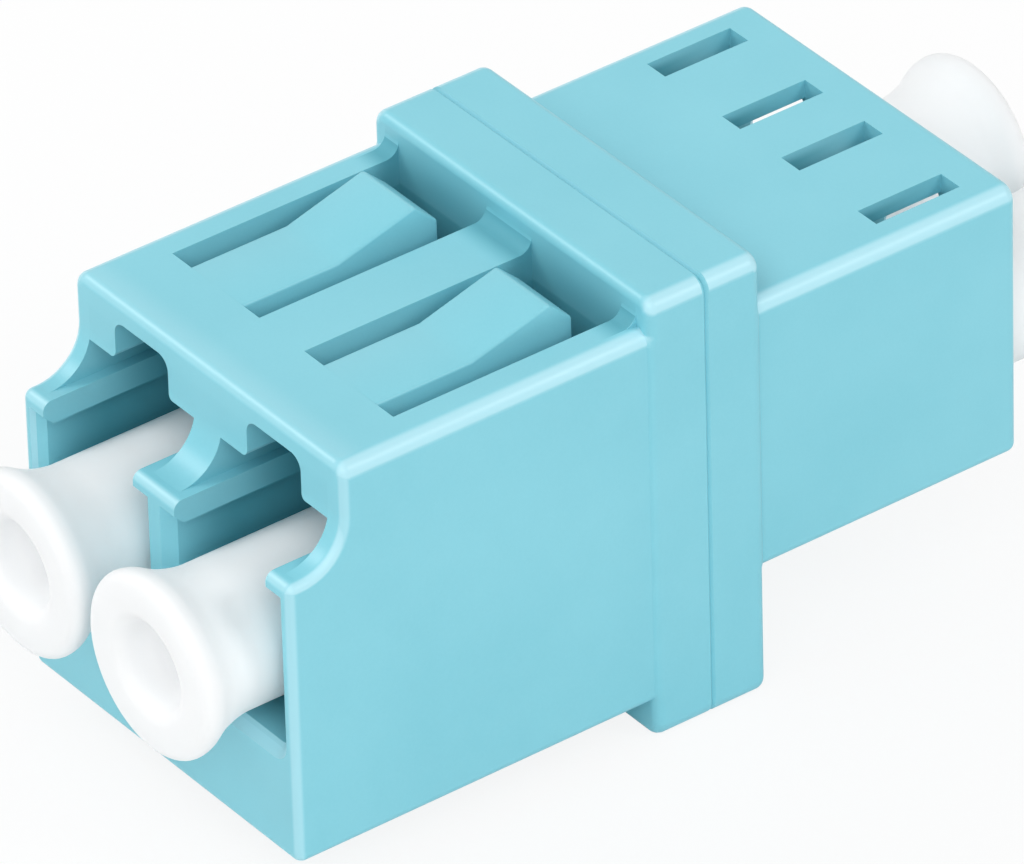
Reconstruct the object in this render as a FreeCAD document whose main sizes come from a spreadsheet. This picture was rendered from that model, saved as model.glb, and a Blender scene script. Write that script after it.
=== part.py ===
import FreeCAD, Part
import math
import os
import Sketcher

# Duplex fibre coupler: a two-part moulded housing that joins two pairs of fibres end to end.
# The origin is midway between the two fibre axes, on the collar's front face, where the panel sits.
# +Y runs from the front mouths to the rear mouths, +X is to the right seen from the front, +Z is up.
# All lengths are in millimetres.

doc = FreeCAD.newDocument("fibre_coupler")

# Driving sizes: alias, value, meaning
SIZES = (
    ("port_pitch", 6.25, "distance between the two fibre axes"),
    ("side_wall", 0.725, "front body's side walls beside the ports"),
    ("body_top", 6.45, "front body's top above the fibre axes"),
    ("body_bottom", 6.2, "front body's underside below the fibre axes"),
    ("nose_length", 12.5, "lower front face ahead of the panel"),
    ("step_setback", 1.95, "upper front face behind the lower one"),
    ("ledge_height", 3.25, "ledge of the step above the fibre axes"),
    ("step_radius", 1.5, "hollow curve between ledge and upper front face"),
    ("collar_side", 0.1, "collar beyond each side of the front body"),
    ("collar_rise", 1.0, "collar above the front body's top"),
    ("collar_drop", 1.3, "collar below the front body's underside"),
    ("collar_front_depth", 2.0, "front half of the collar, panel to parting line"),
    ("collar_rear_depth", 1.95, "rear half of the collar"),
    ("collar_foot", 0.45, "hollow curve between the front body's top and the collar"),
    ("parting_bevel", 0.08, "bevel that leaves a groove at the parting line"),
    ("rear_inset", 0.05, "rear body inside each side of the front body"),
    ("rear_top", 5.8, "rear body's top above the fibre axes"),
    ("rear_floor", 0.7, "rear body's wall under the plug cavities"),
    ("rear_length", 9.25, "rear body behind the collar"),
    ("crown_radius", 0.5, "rounding of the long top edges"),
    ("edge_radius", 0.3, "rounding of the other outer edges"),
    ("middle_wall", 1.25, "wall between the two plug cavities"),
    ("floor_drop", 0.1, "plug cavity's floor farther from the fibre axis than its sides"),
    ("port_corner", 0.3, "rounding of the plug cavity's lower corners"),
    ("mouth_land", 0.03, "flat left between the mouth's bevel and the outer edge's rounding"),
    ("lip_overhang", 0.35, "guide lips beyond the plug cavity's sides"),
    ("lip_depth", 0.8, "height of the guide lips, below the ledge level"),
    ("wing_slot_width", 5.0, "slot for the plug's latch wings, side to side"),
    ("wing_slot_height", 1.2, "slot for the plug's latch wings, above the guide lips"),
    ("latch_channel_width", 2.54, "channel for the plug's latch, between the catch ribs"),
    ("channel_corner", 0.45, "rounding of the channel's upper corners"),
    ("rib_radius", 0.2, "rounding of the catch ribs' lower edges"),
    ("front_roof", 0.7, "top wall over the front channels"),
    ("rear_roof", 0.6, "top wall over the rear channels"),
    ("clip_width", 2.5, "panel clip finger, side to side"),
    ("clip_slot", 0.82, "slot on each side of a finger"),
    ("clip_root", 7.93, "finger's root ahead of the panel"),
    ("clip_bend", 4.6, "start of the finger's ramp ahead of the panel"),
    ("clip_peak", 1.9, "finger's highest edge ahead of the panel"),
    ("clip_end_gap", 1.1, "finger's end ahead of the panel"),
    ("clip_rise", 0.75, "finger's highest edge above the top wall"),
    ("clip_edge", 0.1, "bevel of the finger's free edges"),
    ("window_offset", 1.33, "rear latch window's inner edge from the fibre axis"),
    ("window_width", 0.85, "rear latch window, side to side"),
    ("window_length", 3.0, "rear latch window, front to rear"),
    ("window_end_wall", 1.28, "rear latch window's end from the rear face"),
    ("web_depth", 0.9, "wall that carries the barrels, in each half"),
    ("barrel_diameter", 2.6, "barrel around the alignment sleeve"),
    ("barrel_reach", 3.6, "barrel beyond the wall, in each half"),
    ("barrel_mouth", 1.45, "hole in the barrel's end for the fibre's ferrule"),
    ("sleeve_length", 6.8, "split alignment sleeve"),
    ("sleeve_outer", 1.62, "sleeve's outer diameter"),
    ("sleeve_bore", 1.25, "sleeve's bore, the ferrule's diameter"),
    ("sleeve_slit", 0.3, "width of the sleeve's slit"),
    ("sleeve_clearance", 0.06, "room around the sleeve and at its ends"),
    ("cap_stand", 2.65, "front cap's face ahead of the lower front face"),
    ("cap_tip_room", 0.95, "room between a cap's stem and the wall that carries the barrels"),
    ("cap_clearance", 0.35, "room between a cap's stem and the cavity floor"),
    ("cap_head_gap", 0.55, "gap between the heads of two caps side by side"),
    ("cap_rim", 0.55, "thickness of the head's rim"),
    ("cap_rim_bevel", 0.25, "bevel of the head's edges"),
    ("cap_neck", 1.05, "flare from the rim down to the stem"),
    ("cap_recess", 2.9, "blind hole in the head, its diameter"),
    ("cap_recess_depth", 2.0, "blind hole in the head, its depth"),
    ("cap_bore_room", 0.1, "room between the stem's bore and a barrel"),
    ("cap_bore_depth", 11.8, "depth of the stem's bore"),
)

sheet = doc.addObject("Spreadsheet::Sheet", "Sizes")
for row, (alias, value, meaning) in enumerate(SIZES, start=1):
    sheet.set("A%d" % row, str(value))
    sheet.setAlias("A%d" % row, alias)
    sheet.set("B%d" % row, meaning)
doc.recompute()


class Length:
    """A length that carries its value and the sheet formula that gives it."""

    def __init__(self, value, formula):
        self.value = value
        self.formula = formula

    def __add__(self, other):
        other = as_length(other)
        return Length(self.value + other.value, "(%s + %s)" % (self.formula, other.formula))

    def __sub__(self, other):
        other = as_length(other)
        return Length(self.value - other.value, "(%s - %s)" % (self.formula, other.formula))

    def __mul__(self, factor):
        return Length(self.value * factor, "(%s * %s)" % (self.formula, factor))

    def __truediv__(self, divisor):
        return Length(self.value / divisor, "(%s / %s)" % (self.formula, divisor))

    def __neg__(self):
        return Length(-self.value, "(0 - %s)" % self.formula)


def as_length(number):
    """A plain number as a length, so that sums can mix the two."""
    return number if isinstance(number, Length) else Length(float(number), str(number))


def smaller(first, second):
    """The smaller of two lengths."""
    return Length(min(first.value, second.value), "min(%s; %s)" % (first.formula, second.formula))


def size(alias):
    """The sheet's value for one alias."""
    return Length(float(sheet.get(alias)), "Sizes." + alias)


def bind(thing, prop, length):
    """Ties one property of a feature to the sheet."""
    thing.setExpression(prop, length.formula)


# Sketches and features

ZERO = as_length(0)
SIDES = {"left": -1, "right": 1}
HANDS = (-1, 1)
NEAR = 1e-4
HALF_TURN = 180

# A sketch numbers a line's start and end and a circle's centre from 1 up, and its own axes from -1 down
START, END, CENTRE = range(1, 4)
ACROSS_AXIS, UP_AXIS = range(-1, -3, -1)


def new_body(label):
    """A new sub-part, named as its file will be."""
    body = doc.addObject("PartDesign::Body", label)
    body.Label = label
    return body


def new_sketch(body, role, name, offset=None):
    """A sketch on one of the body's origin planes, moved along the plane's normal."""
    sketch = body.newObject("Sketcher::SketchObject", name)
    plane = next(f for f in body.Origin.OriginFeatures if f.Role == role)
    sketch.AttachmentSupport = [(plane, "")]
    sketch.MapMode = "FlatFace"
    if offset is not None:
        bind(sketch, "AttachmentOffset.Base.z", offset)
    return sketch


def hold(sketch, geometry, point, x, y):
    """Holds one point of the sketch at its distances from the sketch's origin."""
    for kind, axis, length in (("DistanceX", UP_AXIS, x), ("DistanceY", ACROSS_AXIS, y)):
        if length is ZERO:
            sketch.addConstraint(Sketcher.Constraint("PointOnObject", geometry, point, axis))
            continue
        rule = Sketcher.Constraint(kind, ACROSS_AXIS, START, geometry, point, length.value)
        index = sketch.addConstraint(rule)
        bind(sketch, "Constraints[%d]" % index, length)


def draw_outline(sketch, corners):
    """A closed run of straight edges through the given corners."""
    first = sketch.GeometryCount
    count = len(corners)
    points = [FreeCAD.Vector(x.value, y.value, 0) for x, y in corners]
    for i in range(count):
        sketch.addGeometry(Part.LineSegment(points[i], points[(i + 1) % count]), False)
    for i in range(count):
        follower = first + (i + 1) % count
        sketch.addConstraint(Sketcher.Constraint("Coincident", first + i, END, follower, START))
    for i, (x, y) in enumerate(corners):
        hold(sketch, first + i, START, x, y)


def draw_rectangle(sketch, left, right, low, high):
    """A rectangle between two pairs of lines."""
    draw_outline(sketch, [(left, low), (right, low), (right, high), (left, high)])


def draw_circle(sketch, x, y, diameter):
    """A circle held by its centre and its diameter."""
    centre = FreeCAD.Vector(x.value, y.value, 0)
    circle = Part.Circle(centre, FreeCAD.Vector(0, 0, 1), diameter.value / 2)
    geometry = sketch.addGeometry(circle, False)
    hold(sketch, geometry, CENTRE, x, y)
    index = sketch.addConstraint(Sketcher.Constraint("Diameter", geometry, diameter.value))
    bind(sketch, "Constraints[%d]" % index, diameter)


def draw_hollow(sketch, x, y, radius):
    """The section that fills a square corner, at its lower right, up to a hollow curve."""
    first = sketch.GeometryCount
    corners = [(x - radius, y), (x, y), (x, y + radius)]
    points = [FreeCAD.Vector(across.value, up.value, 0) for across, up in corners]
    for start, end in zip(points, points[1:]):
        sketch.addGeometry(Part.LineSegment(start, end), False)
    centre = FreeCAD.Vector(points[0].x, points[2].y, 0)
    circle = Part.Circle(centre, FreeCAD.Vector(0, 0, 1), radius.value)
    arc = sketch.addGeometry(Part.ArcOfCircle(circle, 3 * math.pi / 2, 2 * math.pi), False)
    for one, one_end, other, other_end in ((first, END, first + 1, START), (first + 1, END, arc, END),
                                           (arc, START, first, START)):
        sketch.addConstraint(Sketcher.Constraint("Coincident", one, one_end, other, other_end))
    hold(sketch, first, START, *corners[0])
    hold(sketch, first, END, *corners[1])
    hold(sketch, first + 1, END, *corners[2])
    index = sketch.addConstraint(Sketcher.Constraint("Radius", arc, radius.value))
    bind(sketch, "Constraints[%d]" % index, radius)


def extrude(body, kind, sketch, name, length, reverse=False, symmetric=False):
    """A pad or a pocket of the given length."""
    feature = body.newObject("PartDesign::" + kind, name)
    feature.Profile = sketch
    feature.AllowMultiFace = True
    bind(feature, "Length", length)
    feature.Reversed = reverse
    if symmetric:
        feature.SideType = "Symmetric"
    doc.recompute()
    return feature


def edges_where(feature, test):
    """Names of the feature's edges whose bounding box passes the test."""
    return ["Edge%d" % i for i, edge in enumerate(feature.Shape.Edges, start=1) if test(edge.BoundBox)]


def flat_at(low, high, place):
    """True where an edge lies at one place along an axis."""
    return abs(low - place.value) < NEAR and abs(high - place.value) < NEAR


def beside(box, half_width):
    """True where an edge lies in the left or the right side face."""
    return flat_at(box.XMin, box.XMax, half_width) or flat_at(box.XMin, box.XMax, -half_width)


def dress(body, kind, base, name, edges, amount):
    """A fillet or a chamfer on some edges of the body's last feature."""
    feature = body.newObject("PartDesign::" + kind, name)
    feature.Base = (base, edges)
    bind(feature, "Radius" if kind == "Fillet" else "Size", amount)
    doc.recompute()
    return feature


# Places that both housing halves and the pieces in them share

def port_axis(side):
    """Sideways place of one fibre axis."""
    return size("port_pitch") / 2 * SIDES[side]


parting = size("collar_front_depth")
collar_back = parting + size("collar_rear_depth")
rear_face = collar_back + size("rear_length")
front_face = -size("nose_length")
upper_face = front_face + size("step_setback")
cap_reach = parting - front_face + size("cap_stand")
port_width = size("port_pitch") - size("middle_wall")
port_floor = port_width / 2 + size("floor_drop")
body_half_width = size("port_pitch") / 2 + port_width / 2 + size("side_wall")
collar_half_width = body_half_width + size("collar_side")
collar_top = size("body_top") + size("collar_rise")
collar_bottom = -size("body_bottom") - size("collar_drop")
ledge = size("ledge_height")
wing_slot_top = ledge + size("wing_slot_height")
front_ceiling = size("body_top") - size("front_roof")
rear_ceiling = size("rear_top") - size("rear_roof")


def mirrored(axis, steps):
    """Outline with the given widths and heights, the same on both sides of a fibre axis."""
    right = [(axis + width / 2, height) for width, height in steps]
    left = [(axis - width / 2, height) for width, height in reversed(steps)]
    return right + left


def cut_ports(body, mouth, collar, ceiling, wall, rear):
    """Both ports: plug cavities back to the barrels' wall, and latch ways above them back to the collar."""
    lip_low = ledge - size("lip_depth")
    lip_gap = port_width - size("lip_overhang") * 2
    plug = ((port_width, -port_floor), (port_width, lip_low), (lip_gap, lip_low), (lip_gap, ledge))
    wings, channel = size("wing_slot_width"), size("latch_channel_width")
    latch = ((wings, ledge), (wings, wing_slot_top), (channel, wing_slot_top), (channel, ceiling))
    for name, steps, end in (("plug_cavities", plug, wall), ("latch_ways", latch, collar)):
        sketch = new_sketch(body, "XZ_Plane", name + "_section", -mouth)
        for side in SIDES:
            draw_outline(sketch, mirrored(port_axis(side), steps))
        depth = mouth - end if rear else end - mouth
        ports = extrude(body, "Pocket", sketch, name, depth, reverse=rear)

    def along(feature, width, height):
        places = [port_axis(side) + width / 2 * hand for side in SIDES for hand in HANDS]
        return edges_where(feature, lambda b: flat_at(b.ZMin, b.ZMax, height)
                           and any(flat_at(b.XMin, b.XMax, place) for place in places))

    room = ceiling - wing_slot_top
    corners = along(ports, channel, ceiling)
    radius = smaller(size("channel_corner"), room / 2)
    shape = dress(body, "Fillet", ports, "channel_corners", corners, radius)
    ribs = along(shape, channel, wing_slot_top)
    radius = smaller(size("rib_radius"), room / 4)
    shape = dress(body, "Fillet", shape, "rib_rounding", ribs, radius)
    corners = along(shape, port_width, -port_floor)
    shape = dress(body, "Fillet", shape, "port_corners", corners, size("port_corner"))

    def at_mouth(b):
        inside = max(abs(b.XMin), abs(b.XMax)) < (port_axis("right") + port_width / 2).value + NEAR
        below = b.ZMin > -port_floor.value - NEAR and b.ZMax < lip_low.value + NEAR
        return flat_at(b.YMin, b.YMax, mouth) and inside and below

    thinnest = smaller(size("side_wall") - size("rear_inset"), size("rear_floor"))
    bevel = thinnest - size("edge_radius") - size("mouth_land")
    dress(body, "Chamfer", shape, "mouth_lead_in", edges_where(shape, at_mouth), bevel)


def add_barrels(body, wall, rear):
    """Barrels on the wall, bored for the sleeves from the parting line and for the ferrules."""
    sketch = new_sketch(body, "XZ_Plane", "barrel_section", -wall)
    for side in SIDES:
        draw_circle(sketch, port_axis(side), ZERO, size("barrel_diameter"))
    extrude(body, "Pad", sketch, "barrels", size("barrel_reach"), reverse=rear)
    sketch = new_sketch(body, "XZ_Plane", "sleeve_seat_section", -parting)
    for side in SIDES:
        draw_circle(sketch, port_axis(side), ZERO, size("sleeve_outer") + size("sleeve_clearance") * 2)
    depth = size("sleeve_length") / 2 + size("sleeve_clearance")
    extrude(body, "Pocket", sketch, "sleeve_seats", depth, reverse=not rear)
    sketch = new_sketch(body, "XZ_Plane", "ferrule_section", -parting)
    for side in SIDES:
        draw_circle(sketch, port_axis(side), ZERO, size("barrel_mouth"))
    reach = size("web_depth") + size("barrel_reach")
    extrude(body, "Pocket", sketch, "ferrule_holes", reach, reverse=not rear)


def add_collar(body, front, depth):
    """Half of the collar as a plain slab."""
    sketch = new_sketch(body, "XZ_Plane", "collar_section", -front)
    draw_rectangle(sketch, -collar_half_width, collar_half_width, collar_bottom, collar_top)
    return extrude(body, "Pad", sketch, "collar_half", depth, reverse=True)


def round_collar(body, base, outer):
    """Rounds the collar's corners and its outer face, and bevels its edge at the parting line."""
    def level(b):
        return flat_at(b.ZMin, b.ZMax, collar_top) or flat_at(b.ZMin, b.ZMax, collar_bottom)

    def at_corner(b):
        return beside(b, collar_half_width) and level(b)

    def on_rim(b, place):
        return flat_at(b.YMin, b.YMax, place) and (beside(b, collar_half_width) or level(b))

    base = dress(body, "Fillet", base, "collar_corners", edges_where(base, at_corner), size("crown_radius"))
    edge = edges_where(base, lambda b: on_rim(b, outer))
    base = dress(body, "Fillet", base, "collar_edge", edge, size("edge_radius"))
    edge = edges_where(base, lambda b: on_rim(b, parting))
    dress(body, "Chamfer", base, "parting_edge", edge, size("parting_bevel"))


# Front housing half: stepped nose, front half of the collar, clip windows in the top

def build_front_housing():
    """The front moulding, without its two clip fingers."""
    body = new_body("front_housing")
    half = body_half_width
    top = size("body_top")
    bottom = -size("body_bottom")

    profile = new_sketch(body, "YZ_Plane", "nose_profile")
    draw_outline(profile, [(front_face, bottom), (ZERO, bottom), (ZERO, top),
                           (upper_face, top), (upper_face, ledge), (front_face, ledge)])
    nose = extrude(body, "Pad", profile, "nose", half * 2, symmetric=True)

    hollow = edges_where(nose, lambda b: flat_at(b.YMin, b.YMax, upper_face)
                         and flat_at(b.ZMin, b.ZMax, ledge))
    shape = dress(body, "Fillet", nose, "step_hollow", hollow, size("step_radius"))
    crown = edges_where(shape, lambda b: beside(b, half) and flat_at(b.ZMin, b.ZMax, top))
    shape = dress(body, "Fillet", shape, "crown", crown, size("crown_radius"))

    def outer(b):
        across = b.XLength > size("crown_radius").value
        front = across and flat_at(b.YMin, b.YMax, front_face)
        brow = across and flat_at(b.YMin, b.YMax, upper_face) and flat_at(b.ZMin, b.ZMax, top)
        cheek = beside(b, half) and b.YMax < upper_face.value + NEAR
        keel = beside(b, half) and flat_at(b.ZMin, b.ZMax, bottom)
        return front or brow or cheek or keel

    dress(body, "Fillet", shape, "nose_edges", edges_where(shape, outer), size("edge_radius"))
    collar = add_collar(body, ZERO, size("collar_front_depth"))
    round_collar(body, collar, ZERO)
    sketch = new_sketch(body, "YZ_Plane", "collar_foot_section")
    draw_hollow(sketch, ZERO, top, size("collar_foot"))
    extrude(body, "Pad", sketch, "collar_foot", (half - size("crown_radius")) * 2, symmetric=True)

    wall = parting - size("web_depth")
    cut_ports(body, front_face, ZERO, front_ceiling, wall, rear=False)
    foot_top = top + size("collar_foot")
    sketch = new_sketch(body, "XY_Plane", "clip_window_section", foot_top)
    reach = size("clip_width") / 2 + size("clip_slot")
    for side in SIDES:
        axis = port_axis(side)
        draw_rectangle(sketch, axis - reach, axis + reach, -size("clip_root"), ZERO)
    extrude(body, "Pocket", sketch, "clip_windows", foot_top - ledge)
    add_barrels(body, wall, rear=False)
    return body


# Rear housing half: plain body, rear half of the collar, latch windows in the top

def build_rear_housing():
    """The rear moulding."""
    body = new_body("rear_housing")
    half = body_half_width - size("rear_inset")
    top = size("rear_top")
    bottom = -port_floor - size("rear_floor")

    sketch = new_sketch(body, "XZ_Plane", "tail_section", -collar_back)
    draw_rectangle(sketch, -half, half, bottom, top)
    tail = extrude(body, "Pad", sketch, "tail", size("rear_length"), reverse=True)
    crown = edges_where(tail, lambda b: beside(b, half) and flat_at(b.ZMin, b.ZMax, top))
    shape = dress(body, "Fillet", tail, "crown", crown, size("crown_radius"))

    def outer(b):
        end = flat_at(b.YMin, b.YMax, rear_face)
        keel = beside(b, half) and flat_at(b.ZMin, b.ZMax, bottom)
        return end or keel

    dress(body, "Fillet", shape, "tail_edges", edges_where(shape, outer), size("edge_radius"))
    collar = add_collar(body, parting, size("collar_rear_depth"))
    round_collar(body, collar, collar_back)

    wall = parting + size("web_depth")
    cut_ports(body, rear_face, collar_back, rear_ceiling, wall, rear=True)
    sketch = new_sketch(body, "XY_Plane", "latch_window_section", top)
    window_end = rear_face - size("window_end_wall")
    for side in SIDES:
        for hand in HANDS:
            inner = port_axis(side) + size("window_offset") * hand
            outer_edge = inner + size("window_width") * hand
            draw_rectangle(sketch, inner, outer_edge, window_end - size("window_length"), window_end)
    extrude(body, "Pocket", sketch, "latch_windows", top - ledge)
    sketch = new_sketch(body, "XY_Plane", "latch_room_section", rear_ceiling)
    reach = size("window_offset") + size("window_width")
    for side in SIDES:
        axis = port_axis(side)
        draw_rectangle(sketch, axis - reach, axis + reach, window_end - size("window_length"), window_end)
    extrude(body, "Pocket", sketch, "latch_rooms", rear_ceiling - ledge)
    add_barrels(body, wall, rear=True)
    return body


# Panel clip fingers: tongues that lie in the clip windows, ramped up towards the panel

def build_clip_finger(side):
    """One finger, flush with the top wall at its root and sloped off at its free end."""
    body = new_body(side + "_clip_finger")
    top = size("body_top")
    peak = top + size("clip_rise")
    sketch = new_sketch(body, "YZ_Plane", "finger_profile")
    root = -size("clip_root")
    end = -size("clip_end_gap")
    draw_outline(sketch, [(root, front_ceiling), (end, front_ceiling), (end, top),
                          (-size("clip_peak"), peak), (-size("clip_bend"), top), (root, top)])
    finger = extrude(body, "Pad", sketch, "finger", size("clip_width"), symmetric=True)

    def free(b):
        at_bend = flat_at(b.YMin, b.YMax, -size("clip_bend"))
        return b.ZMax > front_ceiling.value + NEAR and b.YMax > root.value + NEAR and not at_bend

    dress(body, "Chamfer", finger, "finger_edges", edges_where(finger, free), size("clip_edge"))
    bind(body, "Placement.Base.x", port_axis(side))
    return body


# Split alignment sleeves: slit tubes held between the two halves, centred on the parting line

def build_sleeve(side):
    """One sleeve, slit along its top."""
    body = new_body(side + "_alignment_sleeve")
    ring = new_sketch(body, "XZ_Plane", "ring")
    draw_circle(ring, ZERO, ZERO, size("sleeve_outer"))
    draw_circle(ring, ZERO, ZERO, size("sleeve_bore"))
    extrude(body, "Pad", ring, "tube", size("sleeve_length"), symmetric=True)
    slit = new_sketch(body, "XZ_Plane", "slit_section")
    half = size("sleeve_slit") / 2
    draw_rectangle(slit, -half, half, ZERO, size("sleeve_outer"))
    extrude(body, "Pocket", slit, "slit", size("sleeve_length"), symmetric=True)
    bind(body, "Placement.Base.x", port_axis(side))
    bind(body, "Placement.Base.y", parting)
    return body


# Dust caps: turned forms with a flared head, a blind hole in the head and a hollow stem

def build_cap(end, side):
    """One cap in its port, drawn with its face at the origin and its stem along +Y."""
    body = new_body("%s_%s_dust_cap" % (end, side))
    sketch = new_sketch(body, "XY_Plane", "cap_profile")
    stem = port_floor - size("cap_clearance")
    head = size("port_pitch") / 2 - size("cap_head_gap") / 2
    recess = size("cap_recess") / 2
    bore = size("barrel_diameter") / 2 + size("cap_bore_room")
    rim = size("cap_rim")
    neck = rim + size("cap_neck")
    tip = cap_reach - size("web_depth") - size("cap_tip_room")
    bore_end = tip - size("cap_bore_depth")
    recess_end = size("cap_recess_depth")
    draw_outline(sketch, [(recess, ZERO), (head, ZERO), (head, rim), (stem, neck), (stem, tip), (bore, tip),
                          (bore, bore_end), (ZERO, bore_end), (ZERO, recess_end), (recess, recess_end)])
    cap = body.newObject("PartDesign::Revolution", "turned_form")
    cap.Profile = sketch
    cap.ReferenceAxis = (sketch, ["V_Axis"])
    doc.recompute()

    rim_edges = edges_where(cap, lambda b: flat_at(b.YMin, b.YMax, ZERO))
    dress(body, "Chamfer", cap, "rim_bevels", rim_edges, size("cap_rim_bevel"))
    bind(body, "Placement.Base.x", port_axis(side))
    if end == "rear":
        body.Placement.Rotation = FreeCAD.Rotation(FreeCAD.Vector(0, 0, 1), HALF_TURN)
        bind(body, "Placement.Base.y", parting + cap_reach)
    else:
        bind(body, "Placement.Base.y", parting - cap_reach)
    return body


def build_all():
    """Every sub-part, in the order in which they go together."""
    parts = [build_front_housing(), build_rear_housing()]
    for side in SIDES:
        parts.append(build_clip_finger(side))
        parts.append(build_sleeve(side))
        parts.append(build_cap("front", side))
        parts.append(build_cap("rear", side))
    doc.recompute()
    return parts


def check(parts):
    """Stops where a feature failed or a sub-part is not one sound solid."""
    for thing in doc.Objects:
        if "Invalid" in thing.State or "Error" in thing.State:
            raise RuntimeError("feature failed: %s" % thing.FullName)
    for part in parts:
        shape = part.Shape
        if shape.isNull() or not shape.isValid() or len(shape.Solids) != 1:
            raise RuntimeError("not one sound solid: %s" % part.Label)


parts = build_all()
check(parts)
os.makedirs("parts", exist_ok=True)
for part in parts:
    part.Shape.exportStep("parts/%s.step" % part.Label)
    print(part.Label, round(part.Shape.Volume, 3))
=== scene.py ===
"""Visual model of a duplex fibre optic coupler: aqua halves, clip fingers, ceramic sleeves, dust caps."""

import logging
import math
from dataclasses import dataclass
from enum import Enum
from typing import Any, Callable, Mapping, Sequence

import bmesh
import bpy
from mathutils import Matrix, Vector


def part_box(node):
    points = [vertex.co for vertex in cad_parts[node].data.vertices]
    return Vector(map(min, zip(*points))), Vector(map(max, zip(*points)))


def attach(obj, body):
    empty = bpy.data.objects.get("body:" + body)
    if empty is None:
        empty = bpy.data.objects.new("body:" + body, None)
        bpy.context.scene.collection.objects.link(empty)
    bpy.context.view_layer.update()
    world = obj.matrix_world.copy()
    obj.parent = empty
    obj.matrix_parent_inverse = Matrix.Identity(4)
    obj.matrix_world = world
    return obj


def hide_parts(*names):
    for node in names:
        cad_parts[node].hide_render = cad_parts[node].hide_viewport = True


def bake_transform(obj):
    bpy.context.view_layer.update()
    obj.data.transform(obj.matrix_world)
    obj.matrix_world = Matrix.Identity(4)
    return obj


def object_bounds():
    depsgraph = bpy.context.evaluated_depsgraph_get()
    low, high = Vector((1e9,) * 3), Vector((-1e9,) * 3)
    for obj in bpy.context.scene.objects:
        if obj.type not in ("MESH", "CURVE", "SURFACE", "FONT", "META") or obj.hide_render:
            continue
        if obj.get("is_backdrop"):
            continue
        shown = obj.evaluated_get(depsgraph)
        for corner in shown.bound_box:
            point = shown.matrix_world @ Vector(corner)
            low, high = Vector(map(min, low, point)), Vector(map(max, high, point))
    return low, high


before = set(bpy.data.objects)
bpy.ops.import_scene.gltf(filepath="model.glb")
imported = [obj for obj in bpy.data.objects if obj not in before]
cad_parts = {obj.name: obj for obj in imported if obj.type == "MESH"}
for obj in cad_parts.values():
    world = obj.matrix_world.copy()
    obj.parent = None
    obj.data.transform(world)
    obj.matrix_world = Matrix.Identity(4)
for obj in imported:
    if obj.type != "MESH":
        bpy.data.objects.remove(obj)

MM = 0.001
TOUCHING = 1e-7
NEAR = 0.01 * MM
SQUARE_ON = 0.9
ROUND_PROFILE = 0.5
NOISE_MIDDLE = 0.5
NOISE_ROUGHNESS = 0.55
WHITE = (1.0, 1.0, 1.0, 1.0)
Colour = tuple[float, float, float]
Triple = tuple[float, float, float]
Settings = Mapping[str, Any]
log = logging.getLogger("coupler")


class Hand(Enum):
    """The two fibre lanes, named as seen from the front."""

    LEFT = "left"
    RIGHT = "right"


class End(Enum):
    """The two ends of the coupler."""

    FRONT = "front"
    REAR = "rear"


class MixInput(Enum):
    """Places of a colour Mix node's sockets."""

    FACTOR = 0
    FIRST = 6
    SECOND = 7


MIX_COLOUR_OUTPUT = 2


@dataclass(frozen=True)
class Signal:
    """A shader socket whose arithmetic adds Math nodes to its graph."""

    graph: "Graph"
    socket: bpy.types.NodeSocket

    def math(self, operation: str, *values: "Signal | float") -> "Signal":
        """Adds one Math node.

        Args:
            operation: The Math node's operation.
            values: Its operands in order.

        Returns:
            The node's result.
        """
        return self.graph.add("ShaderNodeMath", {"operation": operation}, dict(enumerate(values)))

    def __add__(self, other: "Signal | float") -> "Signal":
        """This value plus another."""
        return self.math("ADD", self, other)

    def __radd__(self, other: float) -> "Signal":
        """A number plus this value."""
        return self.math("ADD", other, self)

    def __sub__(self, other: "Signal | float") -> "Signal":
        """This value less another."""
        return self.math("SUBTRACT", self, other)

    def __rsub__(self, other: float) -> "Signal":
        """A number less this value."""
        return self.math("SUBTRACT", other, self)

    def __mul__(self, other: "Signal | float") -> "Signal":
        """This value times another."""
        return self.math("MULTIPLY", self, other)

    def __rmul__(self, other: float) -> "Signal":
        """A number times this value."""
        return self.math("MULTIPLY", other, self)

    def __abs__(self) -> "Signal":
        """This value without its sign."""
        return self.math("ABSOLUTE", self)

    def __gt__(self, limit: float) -> "Signal":
        """One where this value is over a limit, and zero elsewhere."""
        return self.math("GREATER_THAN", self, limit)

    def __lt__(self, limit: float) -> "Signal":
        """One where this value is under a limit, and zero elsewhere."""
        return self.math("LESS_THAN", self, limit)

    def either(self, other: "Signal") -> "Signal":
        """The larger of this value and another."""
        return self.math("MAXIMUM", self, other)

    def both(self, other: "Signal") -> "Signal":
        """The smaller of this value and another."""
        return self.math("MINIMUM", self, other)

    def rise(self, start: float, full: float) -> "Signal":
        """A smooth climb from zero to one.

        Args:
            start: Value up to which the result is zero.
            full: Value from which the result is one.

        Returns:
            The climb.
        """
        sockets = {"Value": self, "From Min": start, "From Max": full}
        return self.graph.add("ShaderNodeMapRange", {"interpolation_type": "SMOOTHSTEP"}, sockets)


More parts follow.
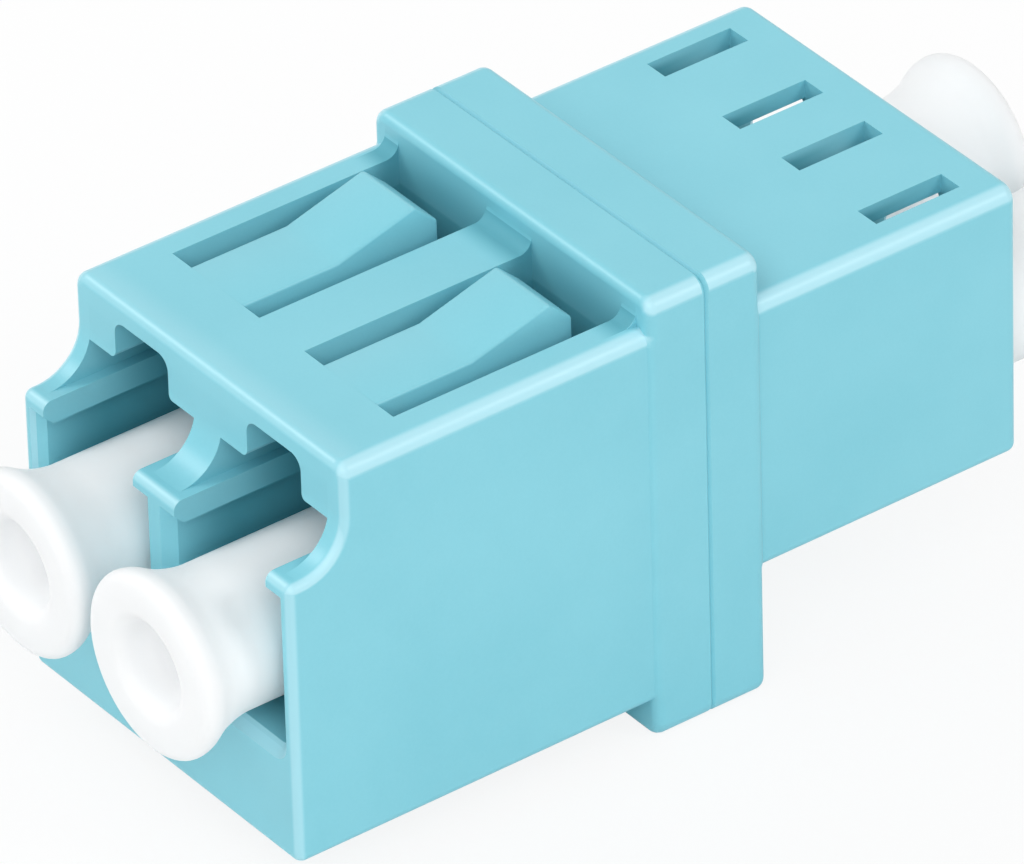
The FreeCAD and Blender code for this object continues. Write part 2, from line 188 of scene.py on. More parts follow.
class Graph:
    """The node tree of one material or of the world."""

    def __init__(self, tree: bpy.types.NodeTree) -> None:
        """Empties the tree.

        Args:
            tree: The node tree to fill.
        """
        self.tree = tree
        tree.nodes.clear()

    def add(
        self, kind: str, settings: Settings, sockets: Mapping[Any, Any], output: int | str = 0
    ) -> Signal:
        """Adds a node, sets it up and joins it to the graph.

        Args:
            kind: The node's type.
            settings: Attributes of the node, set before its sockets.
            sockets: Values or signals by the input's name or number.
            output: Name or number of the output that is handed back.

        Returns:
            The chosen output, or the first input where the node has no output.
        """
        node = self.tree.nodes.new(kind)
        for key, value in settings.items():
            setattr(node, key, value)
        for key, value in sockets.items():
            if isinstance(value, Signal):
                self.tree.links.new(value.socket, node.inputs[key])
            else:
                node.inputs[key].default_value = value
        return Signal(self, node.outputs[output] if node.outputs else node.inputs[0])

    def place(self) -> Signal:
        """The point on the piece, in metres."""
        return self.add("ShaderNodeTexCoord", {}, {}, "Object")

    def axes(self, vector: Signal) -> list[Signal]:
        """The three parts of a vector."""
        first = self.add("ShaderNodeSeparateXYZ", {}, {"Vector": vector})
        return [Signal(self, output) for output in first.socket.node.outputs]

    def facing(self) -> list[Signal]:
        """How far the surface faces right, back and up."""
        return self.axes(self.add("ShaderNodeTexCoord", {}, {}, "Normal"))

    def noise(
        self, place: Signal, grain: float, detail: float = 2.0, stretch: Triple = (1.0, 1.0, 1.0)
    ) -> Signal:
        """Soft mottling.

        Args:
            place: The point that is looked up.
            grain: Size of one patch, in metres.
            detail: How many finer layers are added.
            stretch: How much finer the mottling is along each axis.

        Returns:
            A value around one half.
        """
        scaled = self.add("ShaderNodeMapping", {}, {"Vector": place, "Scale": stretch})
        sockets = {"Vector": scaled, "Scale": 1.0 / grain, "Detail": detail, "Roughness": NOISE_ROUGHNESS}
        return self.add("ShaderNodeTexNoise", {}, sockets, "Fac")

    def mix(self, factor: Signal, first: Any, second: Any) -> Signal:
        """Blends two colours.

        Args:
            factor: Share of the second colour.
            first: Colour at zero.
            second: Colour at one.

        Returns:
            The blended colour.
        """
        values = {MixInput.FACTOR: factor, MixInput.FIRST: first, MixInput.SECOND: second}
        sockets = {where.value: self.opaque(value) for where, value in values.items()}
        return self.add("ShaderNodeMix", {"data_type": "RGBA"}, sockets, MIX_COLOUR_OUTPUT)

    @staticmethod
    def opaque(value: Any) -> Any:
        """A plain colour with its alpha, and anything else as it is."""
        return (*value, 1.0) if isinstance(value, tuple) else value

    def blend(self, factor: Signal, first: Signal, second: Signal) -> Signal:
        """Blends two shaders.

        Args:
            factor: Share of the second shader.
            first: Shader at zero.
            second: Shader at one.

        Returns:
            The blended shader.
        """
        return self.add("ShaderNodeMixShader", {}, dict(enumerate((factor, first, second))))

    def bump(self, height: Signal, depth: float) -> Signal:
        """A normal that follows a fine relief.

        Args:
            height: Relief between zero and one.
            depth: Height of the relief, in metres.

        Returns:
            The bent normal.
        """
        return self.add("ShaderNodeBump", {}, {"Height": height, "Distance": depth, "Strength": 1.0})

    def finish(self, shader: Signal, output: str = "ShaderNodeOutputMaterial") -> None:
        """Sends a shader to the tree's output."""
        self.add(output, {}, {"Surface": shader})


def new_material(name: str) -> tuple[bpy.types.Material, Graph]:
    """Makes an empty node material.

    Args:
        name: The material's name.

    Returns:
        The material and its graph.
    """
    material = bpy.data.materials.new(name)
    material.use_nodes = True
    return material, Graph(material.node_tree)


@dataclass(frozen=True)
class Landmarks:
    """Places on the mouldings that the aqua finish looks for, and how far the parting line reaches."""

    flank: float = 5.84 * MM
    roof: float = 5.5 * MM
    seam: float = 2.0 * MM
    seam_reach: float = 0.12 * MM


@dataclass(frozen=True)
class PaintedEdgeHighlights:
    """Painted highlights on rounded outer edges: along the top's sides, down the nose, over its brow and on
    the guide lips' tips, plus a painted sheen on the level roof behind the brow.
    """

    marks: Landmarks = Landmarks()
    lean_start: float = 0.06
    lean_full: float = 0.48
    crown_skew: float = 1.6
    nose: float = 9.5 * MM
    upright_strength: float = 0.65
    brow_strength: float = 0.4
    tip: float = 12.0 * MM
    tip_strength: float = 0.6
    glow_start: float = 9.3 * MM
    glow_full: float = 10.3 * MM
    glow_tilted: float = 0.5
    glow_level: float = 0.9
    glow_strength: float = 0.3

    def share(self, graph: Graph, place: Signal) -> Signal:
        """The share of the painted highlight colour.

        Args:
            graph: The material's graph.
            place: The point on the piece.

        Returns:
            Up to one on the edges and zero on plain faces.
        """
        across, along, up = graph.axes(place)
        right, back, upward = graph.facing()
        aside, ahead, forward = abs(right), -1.0 * back, -1.0 * along
        on_flank = abs(across) > self.marks.flank
        on_nose = forward > self.nose
        on_roof = up > self.marks.roof
        # Painted highlights: on the top's side edges, down the nose's front corners, over the brow and on
        # the guide lips' tips.
        crown = self.lean(aside, upward * self.crown_skew) * on_flank
        upright = self.lean(aside, ahead) * on_flank * on_nose * self.upright_strength
        over_brow = self.lean(ahead, upward)
        brow = over_brow * on_roof * on_nose * self.brow_strength
        tips = over_brow * (forward > self.tip) * self.tip_strength
        # A painted sheen on the level roof just behind the brow.
        level = upward.rise(self.glow_tilted, self.glow_level)
        glow = forward.rise(self.glow_start, self.glow_full) * on_roof * level * self.glow_strength
        off_seam = abs(along - self.marks.seam) > self.marks.seam_reach
        return crown.either(upright).either(brow).either(tips).either(glow) * off_seam

    def lean(self, first: Signal, second: Signal) -> Signal:
        """How far a surface leans between two directions.

        Args:
            first: How far it faces the first direction.
            second: How far it faces the second.

        Returns:
            One where it faces between both and zero where it faces only one of them.
        """
        return first.both(second).rise(self.lean_start, self.lean_full)


@dataclass(frozen=True)
class PaintedShade:
    """Painted shade: along the parting line, at the foot of the collar's front and deep inside the ports."""

    marks: Landmarks = Landmarks()
    seam_core: float = 0.04 * MM
    seam_strength: float = 0.4
    root_start: float = 0.02 * MM
    root_dark: float = 0.25 * MM
    root_reach: float = 1.3 * MM
    root_strength: float = 0.8
    finger_place: float = 3.125 * MM
    finger_room: float = 1.3 * MM
    face_reach: float = 0.06 * MM
    face_dark: float = 5.7 * MM
    face_top: float = 7.4 * MM
    face_strength: float = 0.7
    port_side: float = 5.63 * MM
    port_floor: float = -2.7 * MM
    port_fade: float = 5.4 * MM
    port_top: float = 5.77 * MM
    port_middle: float = 0.35 * MM
    port_dark: float = 8.4 * MM
    port_mouth: float = 11.3 * MM
    lip_foot: float = 2.48 * MM
    lip_shade: float = 1.9 * MM

    def share(self, graph: Graph, place: Signal) -> Signal:
        """The share of the painted shade colour.

        Args:
            graph: The material's graph.
            place: The point on the piece.

        Returns:
            Up to one where shade is painted and zero elsewhere.
        """
        across, along, up = graph.axes(place)
        aside = abs(across)
        upward = graph.facing()[2]
        # Painted shade in the parting line, on upward faces only.
        seam = self.seam(along) * upward
        return seam.either(self.collar_foot(aside, along, up)).either(self.port_depth(aside, along, up))

    def seam(self, along: Signal) -> Signal:
        """Painted shade along a thin line round the parting of the two halves."""
        line = 1.0 - abs(along - self.marks.seam).rise(self.seam_core, self.marks.seam_reach)
        return line * self.seam_strength

    def collar_foot(self, aside: Signal, along: Signal, up: Signal) -> Signal:
        """Painted shade on the roof's run up to the collar beside the fingers, and on the collar's front
        face over the roof.

        Args:
            aside: Distance from the coupler's middle plane.
            along: Place from front to rear.
            up: Height.

        Returns:
            The share of the painted shade there.
        """
        forward = -1.0 * along
        on_roof = (up > self.marks.roof) * (aside < self.marks.flank)
        beside = abs(aside - self.finger_place) > self.finger_room
        root = (forward > self.root_start) * (1.0 - forward.rise(self.root_dark, self.root_reach)) * beside
        face = (abs(along) < self.face_reach) * (1.0 - up.rise(self.face_dark, self.face_top))
        return (root * self.root_strength).either(face * self.face_strength) * on_roof

    def port_depth(self, aside: Signal, along: Signal, up: Signal) -> Signal:
        """Painted shade inside the ports, reaching farther forward under their guide lips.

        Args:
            aside: Distance from the coupler's middle plane.
            along: Place from front to rear.
            up: Height.

        Returns:
            The share of the darker tone there.
        """
        below = 1.0 - up.rise(self.port_fade, self.port_top)
        within = below * (up > self.port_floor) * (aside < self.port_side)
        from_middle = abs(along - self.port_middle) - (up < self.lip_foot) * self.lip_shade
        return within * (1.0 - from_middle.rise(self.port_dark, self.port_mouth))


@dataclass(frozen=True)
class MouldedPlastic:
    """Satin aqua plastic with a fine eroded grain, painted highlights on its rounded outer edges and painted
    shade in its hollows and ports.
    """

    name: str = "moulded_aqua"
    slot: str = "aqua_plastic"
    deep: Colour = (0.198, 0.572, 0.672)
    pale: Colour = (0.252, 0.641, 0.741)
    # Colour of the painted highlights on the rounded outer edges.
    edge: Colour = (0.430, 0.755, 0.845)
    shade: Colour = (0.075, 0.340, 0.420)
    # Where the painted highlights fall.
    edges: PaintedEdgeHighlights = PaintedEdgeHighlights()
    # Where the painted shade falls.
    painted_shade: PaintedShade = PaintedShade()
    flow_size: float = 5.0 * MM
    flow_detail: float = 3.0
    flow_contrast: float = 1.1
    grain_size: float = 0.09 * MM
    grain_contrast: float = 0.35
    grain_depth: float = 0.0012 * MM
    roughness: float = 0.36
    roughness_spread: float = 0.10
    dulling: float = 0.45
    refraction: float = 1.5
    translucency: float = 0.05
    translucent_reach: float = 0.25 * MM
    translucent_share: Triple = (0.6, 1.0, 1.0)

    def build(self) -> bpy.types.Material:
        """Makes the material."""
        material, graph = new_material(self.name)
        place = graph.place()
        flow = graph.noise(place, self.flow_size, self.flow_detail) - NOISE_MIDDLE
        grain = graph.noise(place, self.grain_size)
        speck = grain - NOISE_MIDDLE
        tone = NOISE_MIDDLE + flow * self.flow_contrast + speck * self.grain_contrast
        # Painted shade and painted highlights over the mottled tone; the painted shade also roughens the
        # surface.
        dark = self.painted_shade.share(graph, place)
        tone_with_highlights = graph.mix(self.edges.share(graph, place), graph.mix(tone, self.deep, self.pale), self.edge)
        shader = graph.add("ShaderNodeBsdfPrincipled", {"subsurface_method": "RANDOM_WALK"}, {
            "Base Color": graph.mix(dark, tone_with_highlights, self.shade),
            "Roughness": self.roughness + (speck + flow) * self.roughness_spread + dark * self.dulling,
            "Normal": graph.bump(grain, self.grain_depth),
            "IOR": self.refraction,
            "Subsurface Weight": self.translucency,
            "Subsurface Radius": self.translucent_share,
            "Subsurface Scale": self.translucent_reach,
        })
        graph.finish(shader)
        return material


@dataclass(frozen=True)
class CapPlastic:
    """Soft milky plastic that lets light into its walls, with its base colour painted whiter along the stem
    to lift the stem's shade and kept darker over the head, where the lamps fall most.
    """

    name: str = "milky_soft_plastic"
    slot: str = "cap_plastic"
    # Milk and cloud mottle the head, kept darker where the lamps fall most; the whiter stem colour is
    # painted lightening against the stem's shade.
    milk: Colour = (0.842, 0.855, 0.862)
    cloud: Colour = (0.870, 0.879, 0.884)
    stem: Colour = (0.966, 0.982, 0.994)
    middle: float = 2.0 * MM
    stem_end: float = 15.8 * MM
    head_start: float = 16.8 * MM
    cloud_size: float = 1.6 * MM
    cloud_detail: float = 3.0
    grain_size: float = 0.12 * MM
    grain_depth: float = 0.001 * MM
    roughness: float = 0.58
    roughness_spread: float = 0.10
    refraction: float = 1.5
    translucency: float = 0.6
    translucent_reach: float = 0.6 * MM
    translucent_share: Triple = (1.0, 1.0, 1.0)

    def build(self) -> bpy.types.Material:
        """Makes the material."""
        material, graph = new_material(self.name)
        place = graph.place()
        cloud = graph.noise(place, self.cloud_size, self.cloud_detail)
        grain = graph.noise(place, self.grain_size)
        along = graph.axes(place)[1]
        # Painted lightening: the base colour turns from the head's darker tone to the whiter stem colour
        # along the length.
        head = abs(along - self.middle).rise(self.stem_end, self.head_start)
        shader = graph.add("ShaderNodeBsdfPrincipled", {"subsurface_method": "RANDOM_WALK"}, {
            "Base Color": graph.mix(head, self.stem, graph.mix(cloud, self.milk, self.cloud)),
            "Roughness": self.roughness + (grain - NOISE_MIDDLE) * self.roughness_spread,
            "Normal": graph.bump(grain, self.grain_depth),
            "IOR": self.refraction,
            "Subsurface Weight": self.translucency,
            "Subsurface Radius": self.translucent_share,
            "Subsurface Scale": self.translucent_reach,
        })
        graph.finish(shader)
        return material


@dataclass(frozen=True)
class GroundCeramic:
    """Ivory ceramic, ground round its axis to a fine sheen."""

    name: str = "ground_ceramic"
    ivory: Colour = (0.80, 0.78, 0.71)
    chalk: Colour = (0.88, 0.865, 0.81)
    roughness: float = 0.24
    roughness_spread: float = 0.16
    line_size: float = 0.5 * MM
    line_detail: float = 3.0
    line_stretch: Triple = (0.2, 14.0, 0.2)
    line_depth: float = 0.0008 * MM
    refraction: float = 2.1

    def build(self) -> bpy.types.Material:
        """Makes the material."""
        material, graph = new_material(self.name)
        lines = graph.noise(graph.place(), self.line_size, self.line_detail, self.line_stretch)
        shader = graph.add("ShaderNodeBsdfPrincipled", {}, {
            "Base Color": graph.mix(lines, self.ivory, self.chalk),
            "Roughness": self.roughness + (lines - NOISE_MIDDLE) * self.roughness_spread,
            "Normal": graph.bump(lines, self.line_depth),
            "IOR": self.refraction,
        })
        graph.finish(shader)
        return material


@dataclass(frozen=True)
class StudioPaper:
    """White paper that the camera sees as white, apart from the object's soft shadow."""

    name: str = "studio_paper"
    tint: Colour = (0.93, 0.93, 0.93)
    lift: float = 0.86
    fibre_size: float = 0.6 * MM
    fibre_detail: float = 3.0
    fibre_tone: float = 0.99

    def build(self) -> bpy.types.Material:
        """Makes the material."""
        material, graph = new_material(self.name)
        fibre = graph.noise(graph.place(), self.fibre_size, self.fibre_detail)
        tint = graph.mix(fibre, tuple(self.fibre_tone * part for part in self.tint), self.tint)
        paper = graph.add("ShaderNodeBsdfDiffuse", {}, {"Color": tint})
        white = graph.add("ShaderNodeEmission", {}, {"Strength": 1.0})
        seen = graph.add("ShaderNodeLightPath", {}, {}, "Is Camera Ray") * self.lift
        lifted = graph.blend(seen, paper, white)
        behind = graph.add("ShaderNodeNewGeometry", {}, {}, "Backfacing")
        clear = graph.add("ShaderNodeBsdfTransparent", {}, {})
        graph.finish(graph.blend(behind, lifted, clear))
        return material


class Workpiece:
    """A mesh while operators shape it in edit mode."""

    def __init__(self, name: str) -> None:
        """Takes up the primitive that was just added, with its place put into its mesh.

        Args:
            name: Name of the piece.
        """
        self.obj = bpy.context.object
        self.obj.name = self.obj.data.name = name
        bpy.ops.object.transform_apply(location=True, rotation=True, scale=True)
        bpy.ops.object.mode_set(mode="EDIT")

    def select_edges(self, wanted: Callable[[Vector, Vector], bool]) -> None:
        """Selects edges by the places of their two ends.

        Args:
            wanted: Says whether an edge between two points is taken.
        """
        bpy.ops.mesh.select_mode(type="EDGE")
        bpy.ops.mesh.select_all(action="DESELECT")
        mesh = bmesh.from_edit_mesh(self.obj.data)
        for edge in mesh.edges:
            if wanted(edge.verts[0].co, edge.verts[1].co):
                edge.select_set(True)
        bmesh.update_edit_mesh(self.obj.data)

    def select_end(self) -> None:
        """Selects the faces that look to the rear."""
        bpy.ops.mesh.select_mode(type="FACE")
        bpy.ops.mesh.select_all(action="DESELECT")
        mesh = bmesh.from_edit_mesh(self.obj.data)
        for face in mesh.faces:
            if face.normal.y > SQUARE_ON:
                face.select_set(True)
        bmesh.update_edit_mesh(self.obj.data)

    @staticmethod
    def extrude_edges(shift: Vector) -> None:
        """Draws the selected edges out along a shift."""
        bpy.ops.mesh.extrude_edges_move(TRANSFORM_OT_translate={"value": shift})

    @staticmethod
    def extrude_faces(shift: Vector) -> None:
        """Draws the selected faces out along a shift."""
        bpy.ops.mesh.extrude_region_move(TRANSFORM_OT_translate={"value": shift})

    @staticmethod
    def move(shift: Vector) -> None:
        """Moves what is selected."""
        bpy.ops.transform.translate(value=shift)

    @staticmethod
    def bevel(width: float, steps: int) -> None:
        """Rounds the selected edges.

        Args:
            width: Width that is taken off each side, in metres.
            steps: Number of facets across the rounding.
        """
        bpy.ops.mesh.bevel(
            offset=width, segments=steps, profile=ROUND_PROFILE, affect="EDGES", clamp_overlap=True)

    def done(self, smooth_angle: float) -> bpy.types.Object:
        """Closes the mesh, turns its faces outwards and leaves edit mode.

        Args:
            smooth_angle: Faces that meet at less than this angle are shaded as one, in degrees.

        Returns:
            The finished object.
        """
        bpy.ops.mesh.select_all(action="SELECT")
        bpy.ops.mesh.remove_doubles(threshold=TOUCHING)
        bpy.ops.mesh.normals_make_consistent(inside=False)
        bpy.ops.object.mode_set(mode="OBJECT")
        bpy.ops.object.shade_smooth_by_angle(angle=math.radians(smooth_angle))
        return self.obj


def copy_of(obj: bpy.types.Object, name: str) -> bpy.types.Object:
    """Copies a piece with a mesh of its own.

    Args:
        obj: The piece that is copied.
        name: The copy's name.

    Returns:
        The copy, active, in edit mode and with its whole mesh selected.
    """
    bpy.ops.object.select_all(action="DESELECT")
    obj.select_set(True)
    bpy.context.view_layer.objects.active = obj
    bpy.ops.object.duplicate(linked=False)
    copy = bpy.context.object
    copy.name = copy.data.name = name
    bpy.ops.object.mode_set(mode="EDIT")
    bpy.ops.mesh.select_all(action="SELECT")
    return copy


def shifted(obj: bpy.types.Object, name: str, shift: Vector) -> bpy.types.Object:
    """Copies a piece and moves the copy's mesh.

    Args:
        obj: The piece that is copied.
        name: The copy's name.
        shift: How far the copy moves.

    Returns:
        The copy.
    """
    copy = copy_of(obj, name)
    bpy.ops.transform.translate(value=shift)
    bpy.ops.object.mode_set(mode="OBJECT")
    return copy


def turned(obj: bpy.types.Object, name: str, centre: Vector) -> bpy.types.Object:
    """Copies a piece and turns the copy's mesh half round an upright axis.

    Args:
        obj: The piece that is copied.
        name: The copy's name.
        centre: A point on the axis.

    Returns:
        The copy.
    """
    copy = copy_of(obj, name)
    bpy.ops.transform.rotate(value=math.pi, orient_axis="Z", center_override=centre)
    bpy.ops.object.mode_set(mode="OBJECT")
    return copy


def dress(obj: bpy.types.Object, material: bpy.types.Material) -> None:
    """Gives an object one material.

    Args:
        obj: A piece or a CAD node.
        material: Its finish.
    """
    if not obj.data.materials:
        obj.data.materials.append(None)
    for slot in obj.material_slots:
        slot.link = "OBJECT"
        slot.material = material


@dataclass(frozen=True)
class Ring:
    """One ring of a turned outline, with its rounding and the facets across that."""

    radius: float
    depth: float
    rounding: float = 0.0
    steps: int = 1


@dataclass
class DustCaps:
    """Soft caps, one in each port: flared head, dished face and hollow stem."""

    slot: str
    material: bpy.types.Material
    facets: int = 72
    dish_floor: float = 1.1 * MM
    dish_corner: float = 0.45 * MM
    dish_mouth: float = 1.38 * MM
    dish_depth: float = 1.95 * MM
    dish_lip: float = 0.42 * MM
    rim_depth: float = 0.55 * MM
    rim_rounding: float = 0.33 * MM
    shoulder_rounding: float = 0.2 * MM
    stem_radius: float = 2.23 * MM
    neck_depth: float = 1.62 * MM
    neck_rounding: float = 0.75 * MM
    tip_rounding: float = 0.25 * MM
    bore_radius: float = 1.4 * MM
    bore_floor: float = 3.55 * MM
    coarse_steps: int = 4
    shoulder_steps: int = 5
    fine_steps: int = 6
    smooth_angle: float = 40.0

    def __post_init__(self) -> None:
        """Reads the caps' places from the CAD caps in model.glb."""
        low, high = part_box(self.node(End.FRONT, Hand.LEFT))
        self.face = Vector(((low.x + high.x) / 2, low.y, (low.z + high.z) / 2))
        self.head_radius = (high.x - low.x) / 2
        self.length = high.y - low.y
        rear_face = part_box(self.node(End.REAR, Hand.LEFT))[1].y
        self.middle = Vector((0.0, (self.face.y + rear_face) / 2, self.face.z))

    @staticmethod
    def node(end: End, hand: Hand) -> str:
        """Name of the CAD cap in one port."""
        return f"{end.value}_{hand.value}_dust_cap"

    def outline(self) -> list[Ring]:
        """Rings from the floor of the dish, over the head and down the stem to the floor of the bore."""
        return [
            Ring(self.dish_floor, self.dish_depth, self.dish_corner, self.coarse_steps),
            Ring(self.dish_mouth, 0.0, self.dish_lip, self.fine_steps),
            Ring(self.head_radius, 0.0, self.rim_rounding, self.fine_steps),
            Ring(self.head_radius, self.rim_depth, self.shoulder_rounding, self.shoulder_steps),
            Ring(self.stem_radius, self.neck_depth, self.neck_rounding, self.fine_steps),
            Ring(self.stem_radius, self.length, self.tip_rounding, self.coarse_steps),
            Ring(self.bore_radius, self.length, self.tip_rounding, self.coarse_steps),
            Ring(self.bore_radius, self.bore_floor),
        ]

    def model(self) -> bpy.types.Object:
        """Models the front left cap from a disc at the floor of its dish.

        Returns:
            The cap's object.
        """
        rings = self.outline()
        first = rings[0]
        bpy.ops.object.select_all(action="DESELECT")
        bpy.ops.mesh.primitive_circle_add(
            vertices=self.facets, radius=first.radius, fill_type="NGON",
            location=self.face + Vector((0.0, first.depth, 0.0)), rotation=(math.pi / 2, 0.0, 0.0))
        piece = Workpiece("front_left_cap_moulding")
        piece.select_edges(lambda start, end: True)
        for inner, outer in zip(rings, rings[1:]):
            centre = self.face + Vector((0.0, outer.depth, 0.0))
            piece.extrude_edges(Vector((0.0, outer.depth - inner.depth, 0.0)))
            grow = outer.radius / inner.radius
            bpy.ops.transform.resize(value=(grow, 1.0, grow), center_override=centre)
        bpy.ops.mesh.edge_face_add()
        for ring in rings:
            if ring.rounding:
                piece.select_edges(lambda start, end: self.on(ring, start) and self.on(ring, end))
                piece.bevel(ring.rounding, ring.steps)
        return piece.done(self.smooth_angle)

    def on(self, ring: Ring, point: Vector) -> bool:
        """Whether a point lies on a ring of the front left cap."""
        reach = math.hypot(point.x - self.face.x, point.z - self.face.z)
        return abs(reach - ring.radius) < NEAR and abs(point.y - self.face.y - ring.depth) < NEAR

    def build(self) -> list[bpy.types.Object]:
        """Models one cap, copies it to the other ports and dresses all four.

        Returns:
            The four pieces.
        """
        master = self.model()
        across = Vector((-2.0 * self.face.x, 0.0, 0.0))
        made = {(End.FRONT, Hand.LEFT): master}
        made[End.FRONT, Hand.RIGHT] = shifted(master, "front_right_cap_moulding", across)
        made[End.REAR, Hand.RIGHT] = turned(master, "rear_right_cap_moulding", self.middle)
        made[End.REAR, Hand.LEFT] = shifted(made[End.REAR, Hand.RIGHT], "rear_left_cap_moulding", -across)
        for (end, hand), piece in made.items():
            dress(piece, self.material)
            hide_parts(self.node(end, hand))
            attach(piece, f"{end.value}_{hand.value}_cap")
        return list(made.values())


@dataclass
class ClipFingers:
    """Two springy panel fingers, modelled at rest with extra cuts across the stretch where they flex."""

    slot: str
    material: bpy.types.Material
    rise: float = 0.75 * MM
    bend_run: float = 3.33 * MM
    nose_run: float = 0.8 * MM
    edge_rounding: float = 0.1 * MM
    edge_steps: int = 3
    flexing_cuts: int = 11
    ramp_cuts: int = 5
    smooth_angle: float = 32.0

    def __post_init__(self) -> None:
        """Reads the left finger's place from the CAD finger in model.glb."""
        self.low, self.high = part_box(self.node(Hand.LEFT))
        self.top = self.high.z - self.rise
        self.bend = self.low.y + self.bend_run
        self.peak = self.high.y - self.nose_run

    @staticmethod
    def node(hand: Hand) -> str:
        """Name of the CAD finger on one side."""
        return f"{hand.value}_clip_finger"

    def model(self) -> bpy.types.Object:
        """Models the left finger from the straight block at its root.

        Returns:
            The finger's object.
        """
        low, high = self.low, self.high
        middle = Vector(((low.x + high.x) / 2, (low.y + self.bend) / 2, (low.z + self.top) / 2))
        span = Vector((high.x - low.x, self.bend - low.y, self.top - low.z))
        bpy.ops.object.select_all(action="DESELECT")
        bpy.ops.mesh.primitive_cube_add(size=1.0, location=middle, scale=span)
        piece = Workpiece("left_finger_moulding")
        self.draw_out(piece, self.peak - self.bend, self.rise)
        self.draw_out(piece, high.y - self.peak, -self.rise)
        piece.select_edges(self.free_edge)
        piece.bevel(self.edge_rounding, self.edge_steps)
        self.cut_across(piece, low.y, self.bend, self.flexing_cuts)
        self.cut_across(piece, self.bend, self.peak, self.ramp_cuts)
        return piece.done(self.smooth_angle)

    @staticmethod
    def draw_out(piece: Workpiece, run: float, climb: float) -> None:
        """Draws the finger's end face on and lifts or lowers its top edge.

        Args:
            piece: The finger so far.
            run: Length that is added.
            climb: How far the new top edge rises.
        """
        piece.select_end()
        piece.extrude_faces(Vector((0.0, run, 0.0)))
        points = [point.co.copy() for point in bmesh.from_edit_mesh(piece.obj.data).verts]
        tip = max(point.y for point in points)
        crest = max(point.z for point in points if tip - point.y < TOUCHING)
        piece.select_edges(lambda start, end: all(
            tip - point.y < TOUCHING and crest - point.z < TOUCHING for point in (start, end)))
        piece.move(Vector((0.0, 0.0, climb)))

    def free_edge(self, start: Vector, end: Vector) -> bool:
        """Whether an edge is on the finger's open top or free end, and not across its bend."""
        above = min(start.z, end.z) > self.low.z + TOUCHING or min(start.y, end.y) > self.high.y - TOUCHING
        at_root = max(start.y, end.y) < self.low.y + TOUCHING
        across = max(abs(start.y - self.bend), abs(end.y - self.bend)) < TOUCHING
        upright = abs(start.z - end.z) > TOUCHING and abs(start.y - end.y) < TOUCHING
        foot = max(start.z, end.z) < self.low.z + TOUCHING
        inner_upright = upright and max(start.y, end.y) < self.high.y - TOUCHING
        return above and not (at_root or across or foot or inner_upright)

    @staticmethod
    def cut_across(piece: Workpiece, near: float, far: float, cuts: int) -> None:
        """Divides a stretch of the finger along its length, so that it can bend.

        Args:
            piece: The finger.
            near: Where the stretch starts.
            far: Where it ends.
            cuts: Number of cuts across it.
        """
        step = (far - near) / (cuts + 1)
        for count in range(1, cuts + 1):
            bpy.ops.mesh.select_all(action="SELECT")
            bpy.ops.mesh.bisect(
                plane_co=(0.0, near + count * step, 0.0), plane_no=(0.0, 1.0, 0.0), threshold=TOUCHING)

    def build(self) -> list[bpy.types.Object]:
        """Models one finger, copies it to the other side and dresses both.

        Returns:
            The two pieces.
        """
        left = self.model()
        across = Vector((-(self.low.x + self.high.x), 0.0, 0.0))
        right = shifted(left, "right_finger_moulding", across)
        for hand, piece in ((Hand.LEFT, left), (Hand.RIGHT, right)):
            dress(piece, self.material)
            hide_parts(self.node(hand))
            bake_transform(piece)
        return [left, right]


@dataclass
class Housing:
    """The two moulded halves and the sleeves between them, in their CAD shapes."""

    plastic: bpy.types.Material
    ceramic: bpy.types.Material

    def build(self) -> list[bpy.types.Object]:
        """Dresses the halves and the sleeves.

        Returns:
            The dressed CAD nodes.
        """
        finishes = {f"{end.value}_housing": self.plastic for end in End}
        finishes |= {f"{hand.value}_alignment_sleeve": self.ceramic for hand in Hand}
        for node, material in finishes.items():
            dress(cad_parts[node], material)
        return [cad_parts[node] for node in finishes]


@dataclass(frozen=True)
class SoftBox:
    """One square soft light that faces the object."""

    name: str
    azimuth: float
    elevation: float
    watts: float
    width: float
    distance: float = 1.2


def from_angles(azimuth: float, elevation: float) -> Vector:
    """Direction from the object, with azimuth 0 in front and 90 on the right.

    Args:
        azimuth: Angle round the object, in degrees.
        elevation: Angle above the floor, in degrees.

    Returns:
        A unit vector.
    """
    turn, lift = math.radians(azimuth), math.radians(elevation)
    return Vector((math.sin(turn) * math.cos(lift), -math.cos(turn) * math.cos(lift), math.sin(lift)))


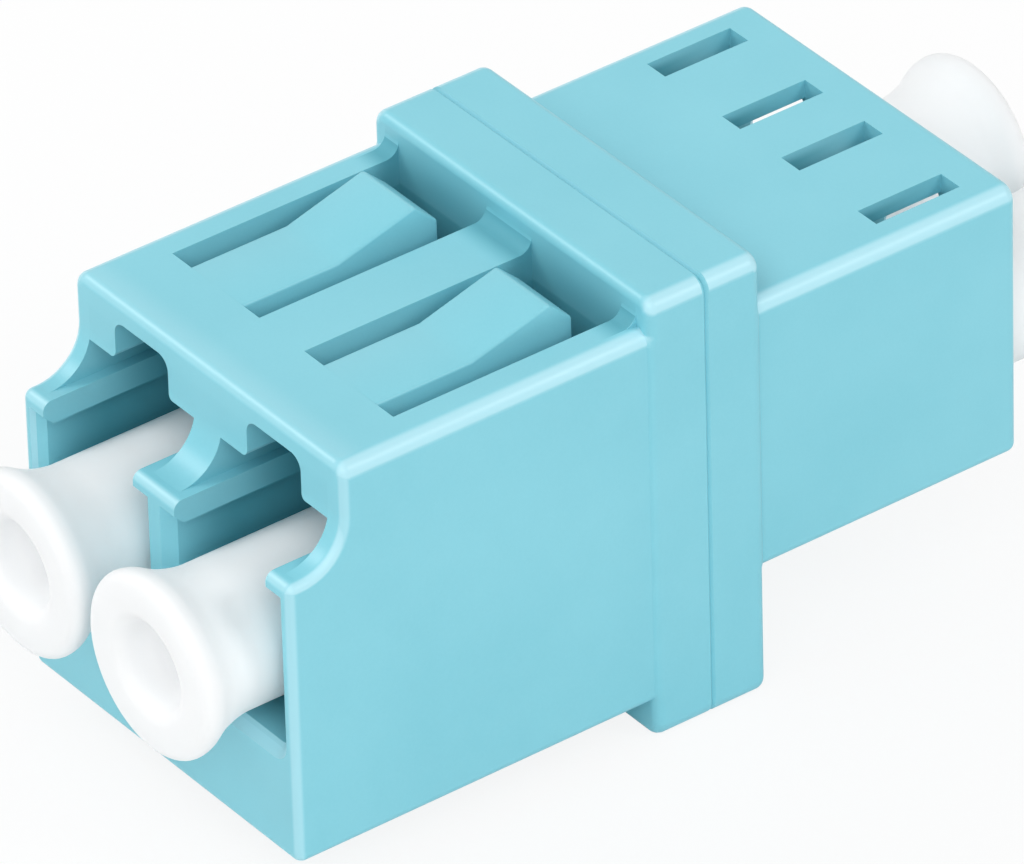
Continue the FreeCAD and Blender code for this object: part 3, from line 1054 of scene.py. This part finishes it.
@dataclass
class Studio:
    """White paper floor, soft lights, pale surroundings and the camera."""

    paper: StudioPaper
    lights: tuple[SoftBox, ...] = (
        SoftBox("right_rear_light", azimuth=126.0, elevation=35.0, watts=2.6, width=0.35),
        SoftBox("right_front_light", azimuth=52.0, elevation=40.0, watts=5.6, width=0.9),
        SoftBox("front_light", azimuth=10.0, elevation=30.0, watts=1.0, width=0.9),
        SoftBox("left_front_light", azimuth=-58.0, elevation=39.0, watts=4.3, width=0.5),
    )
    surround: float = 0.52
    floor_width: float = 3.0
    aim: Triple = (1.86185 * MM, -1.46357 * MM, 1.34353 * MM)
    azimuth: float = 53.905
    elevation: float = 34.602
    roll: float = -1.631
    distance: float = 400.0 * MM
    nearest: float = 40.0 * MM
    lens: float = 499.72
    sensor: float = 36.0

    def build(self) -> None:
        """Sets up the floor, the lights, the world and the camera."""
        self.lay_floor()
        for light in self.lights:
            self.hang(light)
        self.paint_world()
        self.place_camera()
        bpy.context.scene.view_settings.view_transform = "Standard"

    def lay_floor(self) -> None:
        """Lays the paper under the collar's foot."""
        bpy.ops.object.select_all(action="DESELECT")
        bpy.ops.mesh.primitive_plane_add(size=self.floor_width, location=(0.0, 0.0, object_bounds()[0].z))
        floor = bpy.context.object
        floor.name = "paper_floor"
        dress(floor, self.paper.build())
        floor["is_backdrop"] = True

    def hang(self, light: SoftBox) -> None:
        """Hangs one soft light, out of the camera's sight.

        Args:
            light: The light's place and power.
        """
        direction = from_angles(light.azimuth, light.elevation)
        bpy.ops.object.light_add(type="AREA", location=direction * light.distance)
        lamp = bpy.context.object
        lamp.name = light.name
        lamp.rotation_euler = direction.to_track_quat("Z", "Y").to_euler()
        lamp.data.energy = light.watts
        lamp.data.size = light.width
        lamp.visible_camera = False

    def paint_world(self) -> None:
        """Makes the surroundings white to the eye and a plain soft light to the object."""
        world = bpy.data.worlds.new("white_surround")
        world.use_nodes = True
        bpy.context.scene.world = world
        graph = Graph(world.node_tree)
        seen = graph.add("ShaderNodeLightPath", {}, {}, "Is Camera Ray")
        for kind in ("Is Glossy Ray", "Is Transmission Ray"):
            seen = seen.either(graph.add("ShaderNodeLightPath", {}, {}, kind))
        glow, white = (
            graph.add("ShaderNodeBackground", {}, {"Color": WHITE, "Strength": strength})
            for strength in (self.surround, 1.0))
        graph.finish(graph.blend(seen, glow, white), "ShaderNodeOutputWorld")

    def place_camera(self) -> None:
        """Puts the camera at the photograph's angle."""
        back = from_angles(self.azimuth, self.elevation)
        level = Vector((math.cos(math.radians(self.azimuth)), math.sin(math.radians(self.azimuth)), 0.0))
        right = Matrix.Rotation(math.radians(self.roll), 3, back) @ level
        turn = Matrix((right, back.cross(right), back)).transposed()
        bpy.ops.object.camera_add()
        camera = bpy.context.object
        camera.name = "photo_camera"
        camera.matrix_world = Matrix.Translation(Vector(self.aim) + back * self.distance) @ turn.to_4x4()
        camera.data.lens = self.lens
        camera.data.sensor_width = self.sensor
        camera.data.clip_start = self.nearest
        bpy.context.scene.camera = camera


def main() -> None:
    """Builds the coupler's pieces and the studio, and reports each piece."""
    logging.basicConfig(level=logging.INFO, format="%(name)s: %(message)s")
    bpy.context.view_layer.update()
    plastic, soft = MouldedPlastic(), CapPlastic()
    aqua = plastic.build()
    assemblies = (
        Housing(aqua, GroundCeramic().build()),
        ClipFingers(plastic.slot, aqua),
        DustCaps(soft.slot, soft.build()),
    )
    for assembly in assemblies:
        for piece in assembly.build():
            log.info("%s: %d faces", piece.name, len(piece.data.polygons))
    Studio(StudioPaper()).build()


if __name__ == "__main__":
    main()
